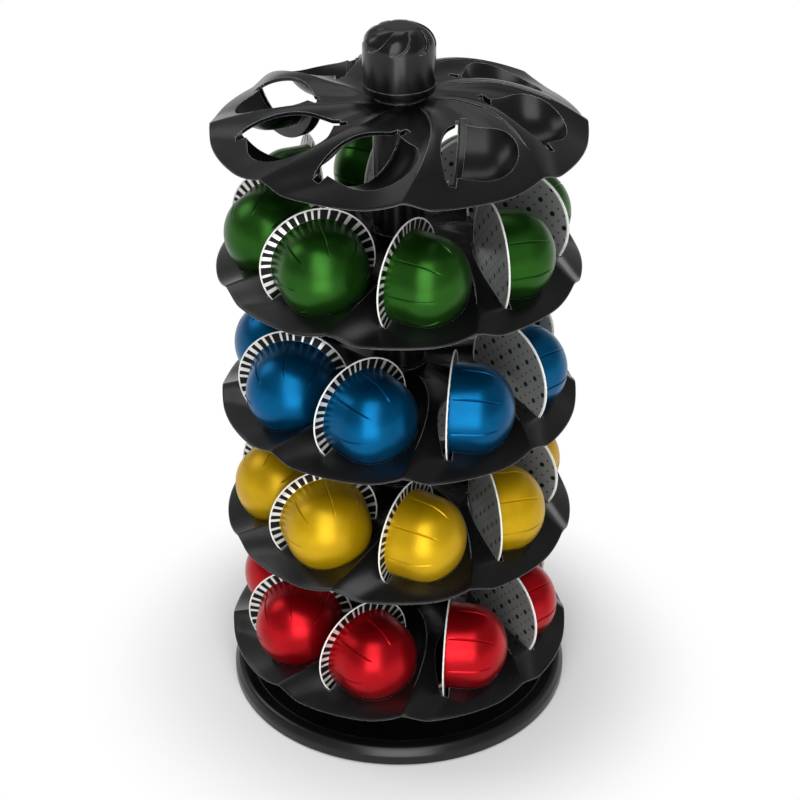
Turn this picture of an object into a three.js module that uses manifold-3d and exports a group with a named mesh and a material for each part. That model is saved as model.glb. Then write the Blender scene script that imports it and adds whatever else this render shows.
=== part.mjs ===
// A rotating capsule dispenser: five eight-pocket trays on a column that turns on a ball bearing in a base dish.
// Millimetres and degrees, +Z up. The origin is on the turning axis, at the height of the table.
import * as THREE from "three";
import { mergeVertices } from "three/addons/utils/BufferGeometryUtils.js";
import Module from "manifold-3d";

const wasm = await Module();
wasm.setup();

// Running and seating clearances.
const seatGap = 0.2; // between two pieces that stand on each other
const plugGap = 0.3; // radial, between a tube's spigot and the bore round it
const rodGap = 0.4; // radial, between the tie rod and the bores that it passes
const ballGap = 0.12; // between a ball and its groove or its hole in the cage
const runningGap = 0.3; // between a turning face and a still one
const capsuleGap = 0.5; // between a capsule and its pocket
const cutOverrun = 1; // how far a cutter passes the face that it cuts

// Counts.
const pocketCount = 8;
const ballCount = 6;
const footCount = 4;
const roundSides = 36;
const bearingSides = 20;
const tubeSides = 12;
const knobSides = 24;
const footSides = 10;
const rodSides = 8;
const hexSides = 6;
const capsuleSides = 12;
const domeSteps = 2;
const ballSides = 8;
const deckSteps = 4;
const sliverSteps = 3;

// Trays.
const trayRadius = 96;
const trayWall = 2;
const trayEdge = 1; // the deck's thickness at its edge
const tierPitch = 76.5;
const turnedTrayRise = 2.8; // how much longer the tube is under a tray that is turned
const firstTrayHeight = 31.4;
const hubRise = 18.4; // the hub's top over the tray's edge
const hubDepth = 8;
const hubRadius = 16;
const valleyPower = 2.2;
const ridgeEdgeRise = 4.2;
const ridgeTopRise = 20.5;
const ridgeClimb = 50; // how far in from the edge a ridge reaches its full height
const ridgeFade = 14; // how far out from the hub a ridge starts
const ridgeSweep = 32; // degrees that a ridge turns from the edge to the hub
const ridgePower = 1.1;
const ridgeRound = 1.65;
const lipWidth = 22.5;
const gentleEdgeShare = 0.22;
const gentleInnerShare = 0.5;
const steepEdgeShare = 0.2;
const steepInnerShare = 0.25;
const deckColumnShares = [0, 0.2, 0.5, 0.85];

// Capsules.
const rimRadius = 30;
const rimThickness = 1.2;
const bodyRadius = 24;
const bodyTaper = 0.6;
const wallDepth = 12.5;
const capsuleDepth = 33.2;

// Pockets. A capsule stands on its rim, with its axis level.
const seatInset = 34.4; // from the tray's edge to the middle of the rim
const seatRise = 21.8; // the capsule's axis over the tray's edge
const seatLead = 25.3; // degrees from a ridge's outer end to the middle of the rim
const capsuleTurn = 57; // degrees from the radial direction to the way that the dome points
const cupWall = 1.6;
const grooveDepth = 3;
const slotSlack = 1.4; // how much wider than the rim and its clearance the rim's slot is
const sliverDepth = 5.5;
const sliverHalfLength = 25;
const cutterDrop = 14; // how far below the tray's edge the pockets reach

// Column.
const tubeRadius = 13.5;
const tubeWall = 2.5;
const spigotWall = 2;
const spigotReach = 6; // how far a spigot stands out of the hub
const collarRadius = 15.2;
const collarHeight = 3.2;
const rodRadius = 3;
const nutRadius = 5.8;
const nutHeight = 3.2;

// Base.
const baseRadius = 96;
const footProud = 1;
const footRadius = 8;
const footInset = 22; // from the base's edge to a foot's middle
const footEdge = 0.8;
const rollHeight = 10;
const rollWidth = 11;
const floorWall = 2.5;
const floorRise = 4.5; // the floor's upper side over the rim's lower edge
const rollEdgeShare = 0.2;
const humpInset = 12; // from the circle of the balls in to the base's raised middle
const humpRise = 3;

// Bearing.
const ballRadius = 3;
const ballInset = 10; // from the turntable's edge to the circle of the balls
const raceWidth = 11;
const raceThickness = 3;
const grooveSink = 1.5;
const grooveFloorShare = 0.4;
const cageThickness = 1.2;
const turntableRadius = 46;

// Knob.
const knobRadius = 18.5;
const knobHeight = 37;
const knobCollarHeight = 2.2;
const knobChamfer = 2.2;
const knobFootRadius = 15;
const knobShoulder = 10;
const knobFlatRadius = 5.5;
const insertRadius = 5.7;
const insertHeight = 16;
const insertWall = 2;

// Finishes.
const blackPlastic = { color: 0x1b1b1d, roughness: 0.38, metalness: 0 };
const blackGloss = { color: 0x161617, roughness: 0.22, metalness: 0 };
const blackRubber = { color: 0x202020, roughness: 0.9, metalness: 0 };
const nylon = { color: 0xd9d6cc, roughness: 0.6, metalness: 0 };
const steel = { color: 0xb9bcc0, roughness: 0.3, metalness: 1 };
const brass = { color: 0xb8954a, roughness: 0.35, metalness: 1 };
const capsuleFinishes = {
  red: { color: 0xb0121c, roughness: 0.35, metalness: 0.8 },
  yellow: { color: 0xd3ab12, roughness: 0.35, metalness: 0.8 },
  blue: { color: 0x0c66a8, roughness: 0.35, metalness: 0.8 },
  green: { color: 0x2c6b22, roughness: 0.35, metalness: 0.8 },
};

// The tiers from the bottom up: the colour of the capsules, and how far the tray is turned, in pockets.
const tiers = [
  { colour: "red", turnShare: 0 },
  { colour: "yellow", turnShare: 0.5 },
  { colour: "blue", turnShare: 0 },
  { colour: "green", turnShare: 0.5 },
  { colour: null, turnShare: 0 },
];

// Sizes that follow from the ones above.
const fullTurn = 2 * Math.PI;
const quarterTurn = fullTurn / 4;
const pocketStep = fullTurn / pocketCount;
const frontAngle = -quarterTurn;
const seatDistance = trayRadius - seatInset;
const footCircle = baseRadius - footInset;
const ballCircle = turntableRadius - ballInset;
const humpRadius = ballCircle - humpInset;
const tubeBore = tubeRadius - tubeWall;
const spigotRadius = tubeBore * Math.cos(Math.PI / tubeSides) - plugGap; // inside the flats of a bore's facets
const rodBore = rodRadius + rodGap;
const floorUnder = footProud + floorRise - floorWall;
const floorTop = floorUnder + floorWall;
const humpUnder = floorUnder + humpRise;
const humpTop = humpUnder + floorWall;
const raceTop = floorTop + seatGap + raceThickness;
const ballHeight = raceTop - grooveSink + ballGap + ballRadius;
const turntableUnder = 2 * ballHeight - raceTop;
const turntableTop = turntableUnder + raceThickness;
const knobBottom = trayHeight(tiers.length - 1) + hubRise + seatGap;
const spigotTop = hubRise + spigotReach;
const insertBottom = knobBottom + spigotReach + seatGap;
const nutTop = humpUnder - runningGap;

const radians = THREE.MathUtils.degToRad;
const lerp = THREE.MathUtils.lerp;
const smooth = (x) => THREE.MathUtils.smoothstep(x, 0, 1);

// The height of a tray's edge.
function trayHeight(tier) {
  const turnedRise = tiers[tier].turnShare ? turnedTrayRise : 0;
  return firstTrayHeight + tier * tierPitch + turnedRise;
}

// Turns a closed geometry into a solid that can be joined and cut.
function solidOf(geometry) {
  const bare = geometry.clone();
  bare.deleteAttribute("normal");
  bare.deleteAttribute("uv");
  const merged = mergeVertices(bare);
  const shape = new wasm.Mesh({
    numProp: 3,
    vertProperties: merged.attributes.position.array,
    triVerts: new Uint32Array(merged.index.array),
  });
  return new wasm.Manifold(shape);
}

// Turns a solid back into a geometry.
function geometryOf(solid) {
  const shape = solid.getMesh();
  const geometry = new THREE.BufferGeometry();
  geometry.setAttribute("position", new THREE.BufferAttribute(shape.vertProperties, 3));
  geometry.setIndex(new THREE.BufferAttribute(shape.triVerts, 1));
  return flatShaded(geometry);
}

function flatShaded(geometry) {
  const flat = geometry.toNonIndexed();
  flat.computeVertexNormals();
  return flat;
}

// A body of revolution about Z, from points of [radius, height].
function turned(profile, sides) {
  const points = profile.map(([radius, height]) => new THREE.Vector2(radius, height));
  return new THREE.LatheGeometry(points, sides).rotateX(quarterTurn);
}

function piece(name, geometry, finish) {
  const mesh = new THREE.Mesh(geometry, new THREE.MeshStandardMaterial(finish));
  mesh.name = name;
  return mesh;
}

// The angle that a ridge has turned through at a radius, from its outer end.
function ridgeAngle(radius) {
  const inwardShare = (trayRadius - radius) / (trayRadius - hubRadius);
  return radians(ridgeSweep) * Math.min(1, Math.max(0, inwardShare)) ** ridgePower;
}

// How much of a ridge's height is left at a share of the way from it to the next one: each ridge falls gently
// towards the rim side of a pocket, and steeply towards the dome side of the pocket before it.
function ridgeShape(radius, acrossShare) {
  const inwardShare = smooth((trayRadius - radius) / lipWidth);
  const gentle = lerp(gentleEdgeShare, gentleInnerShare, inwardShare);
  const steep = lerp(steepEdgeShare, steepInnerShare, inwardShare);
  const awayShare = acrossShare < 1 - steep ? acrossShare / gentle : (1 - acrossShare) / steep;
  return awayShare < 1 ? Math.cos(awayShare * quarterTurn) ** 2 : 0;
}

// The height of the deck's upper side over the tray's edge.
function deckRise(radius, acrossShare) {
  const outwardShare = Math.max(0, (radius - hubRadius) / (trayRadius - hubRadius));
  const valley = hubRise * (1 - outwardShare ** valleyPower);
  const climbLeft = Math.max(0, 1 - (trayRadius - radius) / ridgeClimb);
  const ridge = lerp(ridgeTopRise, ridgeEdgeRise, climbLeft ** ridgeRound);
  const fade = smooth((radius - hubRadius) / ridgeFade);
  return valley + (ridge - valley) * fade * ridgeShape(radius, acrossShare);
}

// The deck's thickness: deep round the hub, and thin at the tray's edge.
function deckThickness(radius) {
  const outer = radius < trayRadius ? trayWall : trayEdge;
  return radius > hubRadius ? outer : hubDepth;
}

// The deck's rings from the hub's bore to the tray's edge.
function deckRadii() {
  const radii = [tubeBore, hubRadius];
  for (let step = 1; step <= deckSteps; step += 1) {
    radii.push(lerp(hubRadius, trayRadius, step / deckSteps));
  }
  return radii;
}

// A closed sheet under the deck's surface: its upper side lies a little below the surface, and its lower side is
// where lowerHeight puts it.
function deckSheet(upperDrop, lowerHeight) {
  const radii = deckRadii();
  const columns = pocketCount * deckColumnShares.length;
  const places = [];
  for (const radius of radii) {
    for (let column = 0; column < columns; column += 1) {
      const ridge = Math.floor(column / deckColumnShares.length);
      const acrossShare = deckColumnShares[column % deckColumnShares.length];
      const angle = ridgeAngle(radius) + (ridge + acrossShare) * pocketStep;
      const rise = deckRise(radius, acrossShare);
      const [x, y] = [radius * Math.cos(angle), radius * Math.sin(angle)];
      places.push(x, y, rise - upperDrop, x, y, lowerHeight(rise, radius));
    }
  }
  const upper = (ring, column) => 2 * (ring * columns + (column % columns));
  const lower = (ring, column) => upper(ring, column) + 1;
  const faces = [];
  const quad = (a, b, c, d) => faces.push(a, b, c, a, c, d);
  const last = radii.length - 1;
  for (let column = 0; column < columns; column += 1) {
    const next = column + 1;
    for (let ring = 0; ring < last; ring += 1) {
      const out = ring + 1;
      quad(upper(ring, column), upper(out, column), upper(out, next), upper(ring, next));
      quad(lower(ring, column), lower(ring, next), lower(out, next), lower(out, column));
    }
    quad(upper(0, column), upper(0, next), lower(0, next), lower(0, column));
    quad(upper(last, column), lower(last, column), lower(last, next), upper(last, next));
  }
  const geometry = new THREE.BufferGeometry();
  geometry.setAttribute("position", new THREE.BufferAttribute(new Float32Array(places), 3));
  geometry.setIndex(faces);
  return geometry;
}

// The outline of a capsule's body from its mouth to the middle of its dome, grown by a margin all round.
function bodyOutline(mouth, margin) {
  const outline = [[bodyRadius + margin, mouth]];
  const shoulder = bodyRadius - bodyTaper + margin;
  for (let step = 0; step < domeSteps; step += 1) {
    const angle = quarterTurn * (step / domeSteps);
    const depth = wallDepth + (capsuleDepth + margin - wallDepth) * Math.sin(angle);
    outline.push([shoulder * Math.cos(angle), depth]);
  }
  outline.push([0, capsuleDepth + margin]);
  return outline;
}

function capsuleGeometry() {
  const rim = [[0, 0], [rimRadius, 0], [rimRadius, rimThickness]];
  return turned([...rim, ...bodyOutline(rimThickness, 0)], capsuleSides);
}

// The outside of a pocket's moulding: a half round cup, with a wider flange that holds the rim's groove.
function cupBlank() {
  const margin = capsuleGap + cupWall;
  const flange = rimRadius + margin;
  const back = rimThickness + slotSlack + margin;
  return turned([[0, -margin], [flange, -margin], [flange, back], ...bodyOutline(back, margin)], capsuleSides);
}

// The free space in a pocket: the capsule with its clearance, open on the foil's side inside the groove.
function pocketSpace() {
  const open = capsuleGap + cupWall + cutOverrun;
  const lip = rimRadius - grooveDepth;
  const groove = rimRadius + capsuleGap;
  const back = rimThickness + slotSlack + capsuleGap;
  const front = [[0, -open], [lip, -open], [groove, -capsuleGap], [groove, back]];
  return turned([...front, ...bodyOutline(back, capsuleGap)], capsuleSides);
}

// The narrow opening in the deck in front of a capsule's foil, as seen from above: a lens of few sides.
function foilSliver() {
  const near = -(capsuleGap + cupWall);
  const outline = new THREE.Shape();
  outline.moveTo(near, -sliverHalfLength);
  for (let step = 1; step < sliverSteps; step += 1) {
    const along = lerp(-1, 1, step / sliverSteps);
    outline.lineTo(near - sliverDepth * (1 - along ** 2), along * sliverHalfLength);
  }
  outline.lineTo(near, sliverHalfLength);
  const depth = seatRise + cutterDrop;
  return new THREE.ExtrudeGeometry(outline, { depth, bevelEnabled: false }).translate(0, 0, -depth);
}

// A capsule's place in its pocket, in the frame of the tray: its own axis, +Z, is laid level along the dome's way.
function seatGroup(pocket) {
  const seat = new THREE.Group();
  seat.rotation.z = radians(seatLead) + pocket * pocketStep;
  const stand = new THREE.Group();
  stand.position.set(seatDistance, 0, seatRise);
  stand.rotation.z = radians(capsuleTurn);
  const lie = new THREE.Group();
  lie.rotation.y = quarterTurn;
  seat.add(stand);
  stand.add(lie);
  seat.updateMatrixWorld(true);
  return { seat, stand, lie };
}

function trayGeometry() {
  const under = (rise, radius) => rise - deckThickness(radius);
  const deck = solidOf(deckSheet(0, under));
  const room = solidOf(deckSheet(trayWall / 2, () => -cutterDrop));
  let cups = null;
  let spaces = null;
  for (let pocket = 0; pocket < pocketCount; pocket += 1) {
    const { stand, lie } = seatGroup(pocket);
    const cup = solidOf(cupBlank().applyMatrix4(lie.matrixWorld));
    const space = solidOf(pocketSpace().applyMatrix4(lie.matrixWorld));
    const sliver = solidOf(foilSliver().applyMatrix4(stand.matrixWorld));
    cups = cups ? cups.add(cup) : cup;
    spaces = (spaces ? spaces.add(space) : space).add(sliver);
  }
  return geometryOf(deck.add(cups.intersect(room)).subtract(spaces));
}

function tubeGeometry(length) {
  const shoulder = length - seatGap;
  const tip = length + spigotTop - (hubRise - hubDepth);
  const profile = [
    [tubeBore, 0],
    [collarRadius, 0],
    [collarRadius, collarHeight],
    [tubeRadius, collarHeight],
    [tubeRadius, shoulder],
    [spigotRadius, shoulder],
    [spigotRadius, tip],
    [spigotRadius - spigotWall, tip],
    [spigotRadius - spigotWall, spigotReach + tubeWall],
    [tubeBore, spigotReach + seatGap],
    [tubeBore, 0],
  ];
  return turned(profile, tubeSides);
}

// The base dish: a rolled rim, a sunk floor, and a raised middle with the rod's hole, which hides the nut below.
function baseGeometry() {
  const rollTop = footProud + rollHeight;
  const rollMiddle = baseRadius - rollWidth / 2;
  const rollInner = baseRadius - rollWidth;
  const rollEdge = rollHeight * rollEdgeShare;
  const profile = [
    [rodBore, humpUnder],
    [humpRadius - floorWall, humpUnder],
    [humpRadius, floorUnder],
    [rollInner - floorWall, floorUnder],
    [rollMiddle - rollEdge, rollTop - floorWall - rollEdge],
    [rollMiddle + rollEdge, rollTop - floorWall - rollEdge],
    [baseRadius - floorWall, footProud],
    [baseRadius, footProud],
    [baseRadius - rollEdge, rollTop - rollEdge],
    [rollMiddle, rollTop],
    [rollInner + rollEdge / 2, rollTop - rollEdge],
    [rollInner, floorTop],
    [humpRadius + floorWall, floorTop],
    [humpRadius, humpTop],
    [rodBore, humpTop],
    [rodBore, humpUnder],
  ];
  return turned(profile, roundSides);
}

function footGeometry() {
  const top = floorUnder - seatGap;
  const profile = [[0, 0], [footRadius - footEdge, 0], [footRadius, footEdge], [footRadius, top], [0, top]];
  return turned(profile, footSides);
}

// The outline of a race's groove in a face, from its inner edge to its outer one. Sink is signed: down or up.
// The outer wall stands out by what its facets come in, so that a ball clears the middle of a facet too.
function grooveOutline(face, sink) {
  const mouth = Math.sqrt(ballRadius ** 2 - (ballRadius - Math.abs(sink)) ** 2) + ballGap;
  const floor = mouth * grooveFloorShare;
  const facetShare = Math.cos(Math.PI / bearingSides);
  return [
    [ballCircle - mouth - ballGap, face],
    [ballCircle - floor - ballGap, face - sink],
    [(ballCircle + floor + ballGap) / facetShare, face - sink],
    [(ballCircle + mouth + ballGap) / facetShare, face],
  ];
}

function lowerRaceGeometry() {
  const bottom = floorTop + seatGap;
  const [inner, outer] = [ballCircle - raceWidth / 2, ballCircle + raceWidth / 2];
  const groove = grooveOutline(raceTop, grooveSink);
  const profile = [[inner, bottom], [outer, bottom], [outer, raceTop], ...groove.reverse(), [inner, raceTop]];
  return turned([...profile, profile[0]], bearingSides);
}

// The turntable plate runs on the balls, and its socket carries the column's lowest tube.
function turntableGeometry() {
  const socketTop = turntableTop + spigotReach;
  const groove = grooveOutline(turntableUnder, -grooveSink);
  const profile = [
    [rodBore, turntableUnder],
    ...groove,
    [turntableRadius, turntableUnder],
    [turntableRadius, turntableTop],
    [spigotRadius, turntableTop],
    [spigotRadius, socketTop],
    [rodBore, socketTop],
    [rodBore, turntableUnder],
  ];
  return turned(profile, bearingSides);
}

function ballPlace(ball) {
  const angle = (ball / ballCount) * fullTurn;
  return [ballCircle * Math.cos(angle), ballCircle * Math.sin(angle), ballHeight];
}

function cageGeometry() {
  const [inner, outer] = [ballCircle - raceWidth / 2, ballCircle + raceWidth / 2];
  const [low, high] = [-cageThickness / 2, cageThickness / 2];
  const ring = solidOf(turned([[inner, low], [outer, low], [outer, high], [inner, high], [inner, low]], bearingSides));
  let holes = null;
  for (let ball = 0; ball < ballCount; ball += 1) {
    const [x, y] = ballPlace(ball);
    const size = ballRadius + 2 * ballGap;
    const hole = new THREE.CylinderGeometry(size, size, cageThickness + cutOverrun, rodSides).rotateX(quarterTurn);
    const cutter = solidOf(hole.translate(x, y, 0));
    holes = holes ? holes.add(cutter) : cutter;
  }
  return geometryOf(ring.subtract(holes)).translate(0, 0, ballHeight);
}

function rodGeometry() {
  const bottom = nutTop - nutHeight;
  const top = insertBottom + insertHeight - insertWall - seatGap;
  const length = top - bottom;
  return new THREE.CylinderGeometry(rodRadius, rodRadius, length, rodSides)
    .rotateX(quarterTurn)
    .translate(0, 0, bottom + length / 2);
}

function nutGeometry() {
  const bore = rodRadius / Math.cos(Math.PI / hexSides) + rodGap;
  const profile = [[bore, 0], [nutRadius, 0], [nutRadius, nutHeight], [bore, nutHeight], [bore, 0]];
  return turned(profile, hexSides).translate(0, 0, nutTop - nutHeight);
}

function insertGeometry() {
  const profile = [
    [rodBore, 0],
    [insertRadius, 0],
    [insertRadius, insertHeight],
    [0, insertHeight],
    [0, insertHeight - insertWall],
    [rodBore, insertHeight - insertWall],
    [rodBore, 0],
  ];
  return turned(profile, rodSides).translate(0, 0, insertBottom);
}

function knobGeometry() {
  const chamferTop = knobCollarHeight + knobChamfer;
  const shoulder = knobHeight - knobShoulder;
  const socket = spigotReach;
  const core = insertRadius + plugGap;
  const coreTop = socket + insertHeight + 2 * seatGap;
  const profile = [
    [tubeBore, 0],
    [tubeRadius, 0],
    [tubeRadius, knobCollarHeight],
    [knobFootRadius, knobCollarHeight],
    [knobRadius, chamferTop],
    [knobRadius, shoulder],
  ];
  const steps = domeSteps + 1;
  for (let step = 1; step < steps; step += 1) {
    const angle = quarterTurn * (step / steps);
    const reach = (knobRadius - knobFlatRadius) * Math.cos(angle);
    profile.push([knobFlatRadius + reach, shoulder + knobShoulder * Math.sin(angle)]);
  }
  profile.push([knobFlatRadius, knobHeight], [0, knobHeight], [0, coreTop]);
  profile.push([core, coreTop], [core, socket], [tubeBore, socket], [tubeBore, 0]);
  return turned(profile, knobSides).translate(0, 0, knobBottom);
}

function baseGroup() {
  const base = new THREE.Group();
  base.add(piece("base_dish", baseGeometry(), blackGloss));
  base.add(piece("bearing_lower_race", lowerRaceGeometry(), nylon));
  for (let foot = 0; foot < footCount; foot += 1) {
    const mesh = piece(`rubber_foot_${foot + 1}`, footGeometry(), blackRubber);
    const angle = ((2 * foot + 1) / (2 * footCount)) * fullTurn;
    mesh.position.set(footCircle * Math.cos(angle), footCircle * Math.sin(angle), 0);
    base.add(mesh);
  }
  return base;
}

function bearingGroup() {
  const bearing = new THREE.Group();
  bearing.add(piece("bearing_cage", cageGeometry(), nylon));
  for (let ball = 0; ball < ballCount; ball += 1) {
    const sphere = new THREE.SphereGeometry(ballRadius, ballSides, ballSides / 2);
    const mesh = piece(`bearing_ball_${ball + 1}`, sphere, steel);
    mesh.position.set(...ballPlace(ball));
    bearing.add(mesh);
  }
  return bearing;
}

function columnGroup() {
  const column = new THREE.Group();
  column.add(piece("turntable_plate", turntableGeometry(), blackPlastic));
  for (let tier = 0; tier < tiers.length; tier += 1) {
    const bottom = (tier === 0 ? turntableTop : trayHeight(tier - 1) + hubRise) + seatGap;
    const under = trayHeight(tier) + hubRise - hubDepth;
    const mesh = piece(`column_tube_${tier + 1}`, tubeGeometry(under - bottom), blackPlastic);
    mesh.position.z = bottom;
    column.add(mesh);
  }
  column.add(piece("tie_rod", rodGeometry(), steel));
  column.add(piece("tie_rod_nut", nutGeometry(), steel));
  column.add(piece("knob_insert", insertGeometry(), brass));
  column.add(piece("knob", knobGeometry(), blackGloss));
  return column;
}

function tierGroup(tier, trayShape, capsuleShape) {
  const { colour, turnShare } = tiers[tier];
  const group = new THREE.Group();
  group.position.z = trayHeight(tier);
  group.rotation.z = frontAngle + turnShare * pocketStep;
  group.add(piece(`tray_${tier + 1}`, trayShape, blackPlastic));
  for (let pocket = 0; colour && pocket < pocketCount; pocket += 1) {
    const { seat, lie } = seatGroup(pocket);
    lie.add(piece(`capsule_${colour}_${pocket + 1}`, capsuleShape, capsuleFinishes[colour]));
    group.add(seat);
  }
  return group;
}

function dispenser() {
  const whole = new THREE.Group();
  whole.add(baseGroup(), bearingGroup(), columnGroup());
  const trayShape = trayGeometry();
  const capsuleShape = capsuleGeometry();
  for (let tier = 0; tier < tiers.length; tier += 1) {
    whole.add(tierGroup(tier, trayShape, capsuleShape));
  }
  return whole;
}

export default dispenser();
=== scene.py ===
"""A rotating capsule dispenser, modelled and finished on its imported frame.

Five black trays of eight pockets stand on a column that turns in a base dish. Four trays hold capsules. Sizes
are in millimetres and degrees in the classes, and every mesh is made in metres, in the frame's own place.
"""

from __future__ import annotations

import logging
import math
import random
from dataclasses import dataclass, field
from enum import Enum
from functools import cache
from typing import Any, Callable, Sequence

import bpy
import numpy as np
from mathutils import Matrix, Vector

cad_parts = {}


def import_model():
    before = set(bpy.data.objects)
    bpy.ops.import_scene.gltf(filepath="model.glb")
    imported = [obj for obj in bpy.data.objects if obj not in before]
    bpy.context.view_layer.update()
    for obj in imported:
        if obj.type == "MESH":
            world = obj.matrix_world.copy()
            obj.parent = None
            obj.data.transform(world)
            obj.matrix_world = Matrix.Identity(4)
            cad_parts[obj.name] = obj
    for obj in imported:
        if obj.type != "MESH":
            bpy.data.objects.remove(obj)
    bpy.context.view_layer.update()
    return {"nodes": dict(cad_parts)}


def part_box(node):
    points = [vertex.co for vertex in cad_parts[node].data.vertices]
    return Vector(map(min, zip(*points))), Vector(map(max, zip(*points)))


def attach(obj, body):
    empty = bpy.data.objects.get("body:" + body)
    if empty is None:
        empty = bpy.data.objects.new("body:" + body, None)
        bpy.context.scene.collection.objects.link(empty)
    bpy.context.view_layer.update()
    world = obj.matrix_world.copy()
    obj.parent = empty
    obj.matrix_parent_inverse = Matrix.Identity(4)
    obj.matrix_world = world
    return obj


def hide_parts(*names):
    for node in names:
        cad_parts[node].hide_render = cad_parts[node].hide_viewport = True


log = logging.getLogger("dispenser")

MM = 0.001
FULL_TURN = 2 * math.pi
QUARTER_TURN = math.pi / 2
POLE_RADIUS = 0.002  # a ring this small, in mm, is drawn together to one point
MERGE_DISTANCE = 0.006  # mm
CAPSULE_MAP = "Turned"  # the capsules' own UV map, in mm
MIDDLE_TONES = (0.3, 0.7)  # the part of a noise's values that a pattern is made of

Point = tuple[float, float]
Corner = tuple[float, float, float]
Piece = bpy.types.Object
Material = bpy.types.Material
Tree = bpy.types.NodeTree
Node = bpy.types.Node
Link = tuple[Node, str | int]
Links = dict[str, Link]
Settings = dict[str, Any]
Surface = tuple[Settings, Links]  # a shader's own values, and the nodes that it reads


class Joining(Enum):
    """How one solid acts on another."""

    ADD = "UNION"
    CUT = "DIFFERENCE"
    KEEP_COMMON = "INTERSECT"


class Tier(Enum):
    """The tiers from the bottom up: the capsules' colour, and whether the tray is turned by half a pocket."""

    RED = ("red", False)
    YELLOW = ("yellow", True)
    BLUE = ("blue", False)
    GREEN = ("green", True)
    EMPTY = ("empty", False)

    @property
    def colour(self) -> str:
        """The colour of this tier's capsules."""
        return self.value[0]

    @property
    def turned(self) -> bool:
        """True where the tray is turned by half a pocket."""
        return self.value[1]


# Modelling by hand.
def select_only(piece: Piece | None) -> None:
    """Leaves object mode and selects one object.

    Args:
        piece: the object, or None to select nothing.
    """
    if bpy.context.object and bpy.context.object.mode != "OBJECT":
        bpy.ops.object.mode_set(mode="OBJECT")
    bpy.ops.object.select_all(action="DESELECT")
    if piece:
        piece.select_set(True)
        bpy.context.view_layer.objects.active = piece


def even_angles(count: int) -> list[float]:
    """The angles of evenly spaced points on a circle."""
    return [FULL_TURN * step / count for step in range(count)]


def rounded(corners: Sequence[Corner], steps: int = 3) -> list[Point]:
    """Rounds the corners of an open outline.

    Args:
        corners: radius, height and the corner's rounding, in mm.
        steps: how many edges an arc has.

    Returns:
        The outline's points with an arc in place of each rounded corner.
    """
    points: list[Point] = []
    for place, (radius, height, bend) in enumerate(corners):
        here = Vector((radius, height))
        if bend == 0 or place in (0, len(corners) - 1):
            points.append((radius, height))
            continue
        back = Vector(corners[place - 1][:2]) - here
        ahead = Vector(corners[place + 1][:2]) - here
        half = back.angle(ahead) / 2
        reach = min(bend / math.tan(half), back.length / 2, ahead.length / 2)
        size = reach * math.tan(half)
        inward = (back.normalized() + ahead.normalized()).normalized()
        middle = here + inward * (size / math.sin(half))
        start = here + back.normalized() * reach - middle
        end = here + ahead.normalized() * reach - middle
        sweep = start.angle_signed(end)
        for step in range(steps + 1):
            turned = start.copy()
            turned.rotate(Matrix.Rotation(-sweep * step / steps, 2))
            points.append(tuple(middle + turned))
    return points


def close_mesh(piece: Piece) -> None:
    """Merges doubled points and turns the faces outwards.

    Args:
        piece: the piece that is closed.
    """
    select_only(piece)
    bpy.ops.object.mode_set(mode="EDIT")
    bpy.ops.mesh.select_all(action="SELECT")
    bpy.ops.mesh.remove_doubles(threshold=MERGE_DISTANCE * MM)
    bpy.ops.mesh.normals_make_consistent(inside=False)
    bpy.ops.object.mode_set(mode="OBJECT")


def lathe(name: str, outline: Sequence[Point], angles: Sequence[float]) -> Piece:
    """Turns an outline about Z: a circle is extruded from each point of the outline to the next.

    Args:
        name: the new object's name.
        outline: radius and height in mm. An end at radius zero becomes a pole, one at the start closes it.
        angles: the places of the columns round the axis, in radians.

    Returns:
        The turned piece.
    """
    rings = [(max(radius, POLE_RADIUS), height) for radius, height in outline]
    reach = rings[0][0] * MM
    select_only(None)
    bpy.ops.mesh.primitive_circle_add(vertices=len(angles), radius=reach)
    piece = bpy.context.object
    piece.name = name
    for vertex, angle in zip(piece.data.vertices, angles):
        vertex.co = (reach * math.cos(angle), reach * math.sin(angle), rings[0][1] * MM)
    bpy.ops.object.mode_set(mode="EDIT")
    bpy.ops.mesh.select_all(action="SELECT")
    for (radius, height), (next_radius, next_height) in zip(rings, rings[1:]):
        rise = {"value": (0, 0, (next_height - height) * MM)}
        bpy.ops.mesh.extrude_region_move(TRANSFORM_OT_translate=rise)
        growth = next_radius / radius
        bpy.ops.transform.resize(value=(growth, growth, 1), center_override=(0, 0, 0))
    close_mesh(piece)
    return piece


def reshape(piece: Piece, change: Callable[[np.ndarray], np.ndarray]) -> None:
    """Moves a piece's vertices.

    Args:
        piece: the piece.
        change: takes the vertices' places in mm, one row each, and returns the new ones.
    """
    places = np.empty(len(piece.data.vertices) * 3)
    piece.data.vertices.foreach_get("co", places)
    moved = change(places.reshape(-1, 3) / MM)
    piece.data.vertices.foreach_set("co", (moved * MM).ravel())
    piece.data.update()


def join_solids(piece: Piece, tool: Piece, joining: Joining) -> None:
    """Adds, cuts or intersects a piece with a tool, and takes the tool out of the file.

    Args:
        piece: the solid that is changed.
        tool: the solid that acts on it.
        joining: how it acts.
    """
    boolean = piece.modifiers.new("Join", "BOOLEAN")
    boolean.operation = joining.value
    boolean.solver = "MANIFOLD"
    boolean.object = tool
    select_only(piece)
    bpy.ops.object.modifier_apply(modifier=boolean.name)
    remove(tool)


def remove(*pieces: Piece) -> None:
    """Takes objects and their meshes out of the file.

    Args:
        pieces: the objects.
    """
    for piece in pieces:
        mesh = piece.data
        bpy.data.objects.remove(piece)
        bpy.data.meshes.remove(mesh)


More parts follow.
